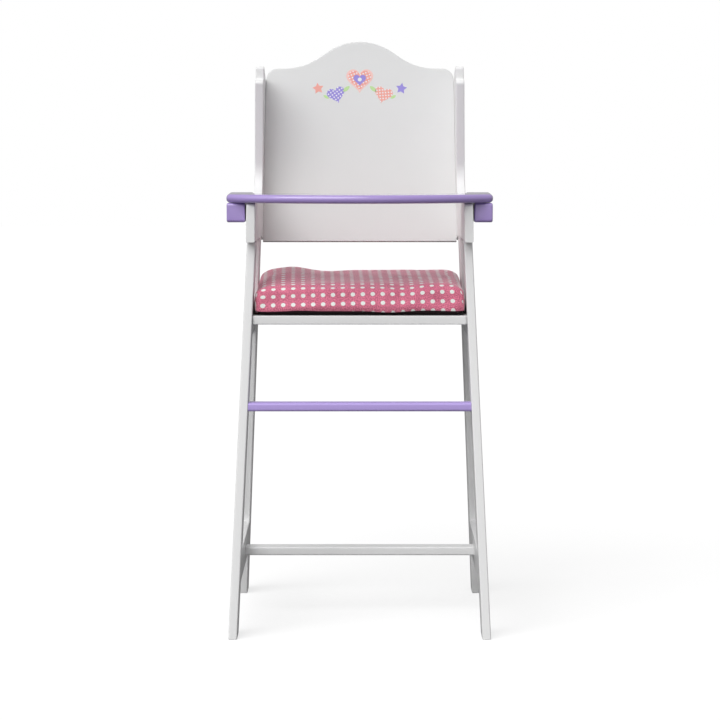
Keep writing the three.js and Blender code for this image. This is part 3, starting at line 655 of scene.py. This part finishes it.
def put_in_order(piece, places):
    """Sorts a lattice's vertices and faces, and returns the vertices' places in that order.

    Extruding leaves them in an order that changes from run to run, and cloth settles a little
    differently for each order.
    """
    order = sorted(range(len(places)), key=lambda index: places[index])
    rank = {index: number for number, index in enumerate(order)}
    faces = []
    for polygon in piece.data.polygons:
        corners = [rank[index] for index in polygon.vertices]
        first = corners.index(min(corners))
        faces.append(corners[first:] + corners[:first])
    loose = piece.data
    piece.data = bpy.data.meshes.new(piece.name)
    points = [loose.vertices[index].co for index in order]
    piece.data.from_pydata(points, [], sorted(faces))
    bpy.data.meshes.remove(loose)
    return [places[index] for index in order]


def lattice_mesh(name):
    """A closed box of even cells, with each vertex's place in the lattice."""
    wide, deep, tall = CUSHION_CELLS
    bpy.ops.object.select_all(action="DESELECT")
    bpy.ops.mesh.primitive_grid_add(x_subdivisions=wide, y_subdivisions=deep, size=2.0)
    piece = bpy.context.object
    piece.name = name
    layer = {"value": (0.0, 0.0, 1.0 / tall)}
    bpy.ops.object.mode_set(mode="EDIT")
    for _ in range(tall):
        bpy.ops.mesh.extrude_region_move(TRANSFORM_OT_translate=layer)
    bpy.ops.mesh.select_all(action="SELECT")
    bpy.ops.mesh.normals_make_consistent(inside=False)
    bpy.ops.object.mode_set(mode="OBJECT")
    places = []
    for x, y, z in (vertex.co for vertex in piece.data.vertices):
        i = round((x + 1.0) * wide / 2.0)
        j = round((y + 1.0) * deep / 2.0)
        places.append((i, j, round(z * tall)))
    return piece, put_in_order(piece, places)


def unfold(piece, places):
    """Lays the cloth flat: its place on the top, and down each wall from the top's edge."""
    wide, deep, tall = CUSHION_CELLS
    at = {place: vertex.co for place, vertex in zip(places, piece.data.vertices)}

    def gap(first, second):
        return (at[first] - at[second]).length

    u, v, drop = {}, {}, {}
    for j in range(deep + 1):
        u[wide // 2, j] = 0.0
        for i in range(wide // 2, wide):
            u[i + 1, j] = u[i, j] + gap((i + 1, j, tall), (i, j, tall))
        for i in range(wide // 2, 0, -1):
            u[i - 1, j] = u[i, j] - gap((i - 1, j, tall), (i, j, tall))
    for i in range(wide + 1):
        v[i, 0] = 0.0
        for j in range(deep):
            v[i, j + 1] = v[i, j] + gap((i, j + 1, tall), (i, j, tall))
    for i, j, k in sorted(at, key=lambda place: -place[2]):
        if k == tall:
            drop[i, j, k] = 0.0
        elif i in (0, wide) or j in (0, deep):
            drop[i, j, k] = drop[i, j, k + 1] + gap((i, j, k + 1), (i, j, k))
    flat = piece.data.uv_layers.new(name="flat")
    for polygon in piece.data.polygons:
        corners = [places[index] for index in polygon.vertices]
        walls = set.intersection(*[set(enumerate(corner)) for corner in corners])
        for loop, (i, j, k) in zip(polygon.loop_indices, corners):
            x, y = u[i, j], v[i, j]
            if (2, 0) in walls:
                x, y = at[i, j, k].x, at[i, j, k].y - CUSHION_FRONT
            elif (1, 0) in walls:
                y -= drop[i, j, k]
            elif (1, deep) in walls:
                y += drop[i, j, k]
            elif (0, 0) in walls:
                x -= drop[i, j, k]
            elif (0, wide) in walls:
                x += drop[i, j, k]
            flat.data[loop].uv = (x, y)


def puff(piece, places, middle):
    """Swells the cushion as its filling does: cloth under pressure, held at the seat board."""
    shape = [vertex.co.copy() for vertex in piece.data.vertices]
    for vertex in piece.data.vertices:
        vertex.co += (middle - vertex.co).normalized() * PUFF_INSET
    held = piece.vertex_groups.new(name="held")
    held.add([index for index, place in enumerate(places) if place[2] == 0], 1.0, "ADD")
    cloth = piece.modifiers.new("cloth", "CLOTH")
    cloth.settings.use_pressure = True
    cloth.settings.uniform_pressure_force = PUFF_PRESSURE
    cloth.settings.effector_weights.gravity = 0.0
    cloth.settings.vertex_group_mass = held.name
    cloth.point_cache.frame_start = 1
    cloth.point_cache.frame_end = PUFF_STEPS
    for step in range(1, PUFF_STEPS + 1):
        bpy.context.scene.frame_set(step)
    graph = bpy.context.evaluated_depsgraph_get()
    swollen = [vertex.co.copy() for vertex in piece.evaluated_get(graph).data.vertices]
    piece.modifiers.remove(cloth)
    piece.vertex_groups.remove(held)
    bpy.context.scene.frame_set(1)
    for vertex, goal, was in zip(piece.data.vertices, swollen, shape):
        move = goal - vertex.co
        if move.length > PUFF_LIMIT:
            move *= PUFF_LIMIT / move.length
        vertex.co += move
        vertex.co.z = max(vertex.co.z, was.z - PUFF_INSET, middle.z)


def rumple(piece, places, foot):
    """Makes the top as uneven as its filling, and lets the lower seam wander."""
    wide, deep, tall = CUSHION_CELLS
    height, fineness = WRINKLE
    for vertex, (i, j, k) in zip(piece.data.vertices, places):
        across = vertex.co.x
        lift = eased(2.0 * k / tall - 1.0)
        rear = eased(EDGE_FADE * j / deep - EDGE_DELAY)
        wave = rear * waves(across, TOP_WAVES) + (1.0 - rear) * waves(across, EDGE_WAVES)
        wrinkle = height * noise.noise(vertex.co * fineness)
        vertex.co.z += lift * (wave + wrinkle)
        if k == 1 and (i in (0, wide) or j in (0, deep)):
            wander = noise.noise(Vector((across, vertex.co.y, SEAM_SLICE)) * SEAM_TURNS)
            vertex.co.z = foot + SEAM_HEIGHT + SEAM_WANDER * wander


def make_cushion(cotton, lining):
    """The loose seat cushion: a crowned box of dotted cotton, soft at its edges."""
    piece, places = lattice_mesh("dotted_cushion")
    wide, deep, tall = CUSHION_CELLS
    for vertex, (i, j, k) in zip(piece.data.vertices, places):
        vertex.co = cushion_point(2.0 * i / wide - 1.0, 2.0 * j / deep - 1.0, k / tall)
    unfold(piece, places)
    middle = Vector((0.0, (CUSHION_FRONT + CUSHION_REAR) / 2.0, CUSHION_LEVEL))
    puff(piece, places, middle)
    rumple(piece, places, middle.z)
    piece.data.materials.append(cotton)
    piece.data.materials.append(lining)
    # The faces up to the lower seam take the near-black felt, painted shade for the recess under
    # the cushion
    for polygon in piece.data.polygons:
        is_lining = all(places[index][2] <= 1 for index in polygon.vertices)
        polygon.material_index = int(is_lining)
    smooth = piece.modifiers.new("smooth", "SUBSURF")
    smooth.levels = smooth.render_levels = 1
    pick(piece)
    bpy.ops.object.modifier_apply(modifier=smooth.name)
    bpy.ops.object.shade_smooth()
    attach(piece, "chair")
    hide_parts("seat_cushion")


def heart(angle):
    """A heart about two units wide, its tip down."""
    height = sum(share * math.cos(count * angle) for count, share in enumerate(HEART_WAVES))
    return math.sin(angle) ** 3, height / HEART_HALF


def star(angle):
    """A star with five points, one of them up."""
    half = math.pi / 5.0
    turn = abs((angle + half) % (2.0 * half) - half)
    x, y = STAR_WAIST * math.cos(half), STAR_WAIST * math.sin(half)
    share = math.sin(turn) / (y * math.cos(turn) + (1.0 - x) * math.sin(turn))
    radius = math.hypot(1.0 - share * (1.0 - x), share * y)
    return radius * math.sin(angle), radius * math.cos(angle)


def leaf(angle):
    """A leaf with two pointed ends."""
    side = math.cos(angle)
    return math.sin(angle), LEAF_WIDTH * math.copysign(abs(side) ** LEAF_POINT, side)


def disc(angle):
    """A round dot."""
    return math.sin(angle), math.cos(angle)


def board_front():
    """Carries (across, up, out) on the backrest's front face to the room, from its foot."""
    faces = frame["nodes"]["backrest_panel"].data.polygons
    face = max((face for face in faces if face.normal.y < -FACING), key=lambda face: face.area)
    out = face.normal.normalized()
    up = out.cross(Vector((1.0, 0.0, 0.0)))
    foot = face.center + up * ((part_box("backrest_panel")[0].z - face.center.z) / up.z)
    place = Matrix.Translation((0.0, foot.y, foot.z))
    return place @ Matrix(((1.0, 0.0, 0.0), up, out)).transposed().to_4x4()


def print_shape(number, shape, ink, dotted, across, up, width, turn, layer):
    """One printed motif: a thin closed slab of ink, its outline drawn from a circle."""
    bpy.ops.object.select_all(action="DESELECT")
    bpy.ops.mesh.primitive_circle_add(vertices=OUTLINE_POINTS, radius=1.0, fill_type="NGON")
    piece = bpy.context.object
    piece.name = f"printed_{shape}_{number}"
    half = width / 2.0 * MILLIMETRE
    for vertex in piece.data.vertices:
        angle = math.atan2(vertex.co.x, vertex.co.y)
        vertex.co = Vector((*shapes[shape](angle), 0.0)) * half
    flat = piece.data.uv_layers.active or piece.data.uv_layers.new()
    flat.name = "flat"
    for loop in piece.data.loops:
        flat.data[loop.index].uv = piece.data.vertices[loop.vertex_index].co.xy
    bpy.ops.object.mode_set(mode="EDIT")
    bpy.ops.mesh.extrude_region_move(TRANSFORM_OT_translate={"value": (0.0, 0.0, INK * layer)})
    bpy.ops.mesh.select_all(action="SELECT")
    bpy.ops.mesh.normals_make_consistent(inside=False)
    bpy.ops.object.mode_set(mode="OBJECT")
    # A quarter of the first layer is sunk into the paint
    place = Matrix.Translation((across * MILLIMETRE, up * MILLIMETRE, -INK / 4.0))
    piece.data.transform(board_front() @ place @ Matrix.Rotation(math.radians(turn), 4, "Z"))
    piece.data.materials.append(inks[ink, dotted])
    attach(piece, "chair")


bpy.context.scene.view_settings.view_transform = "Standard"
make_camera()
for name, setting in LAMPS.items():
    make_lamp(name, *setting)
make_room()
make_floor()

finishes = {slot: paint(*look) for slot, look in PAINTS.items()}
finishes.update(dotted_fabric=dotted_cotton(), bare_wood=beech(), steel=zinc())
for subpart in frame["record"]["subparts"]:
    name, slot = subpart["node"], subpart["material_slot"]
    if slot.endswith("_paint"):
        painted_board(name, finishes[PAINTED_LIGHT_AND_SHADE.get(name, slot)])
    else:
        frame["nodes"][name].data.materials.clear()
        frame["nodes"][name].data.materials.append(finishes[slot])
make_cushion(finishes["dotted_fabric"], painted_shade_lining())

shapes = {"heart": heart, "star": star, "leaf": leaf, "disc": disc}
inks = {
    (ink, dotted): print_ink(("dotted " if dotted else "plain ") + ink, INKS[ink], dotted)
    for ink, dotted in sorted({(motif[1], motif[2]) for motif in MOTIFS})
}
for number, motif in enumerate(MOTIFS):
    print_shape(number, *motif)
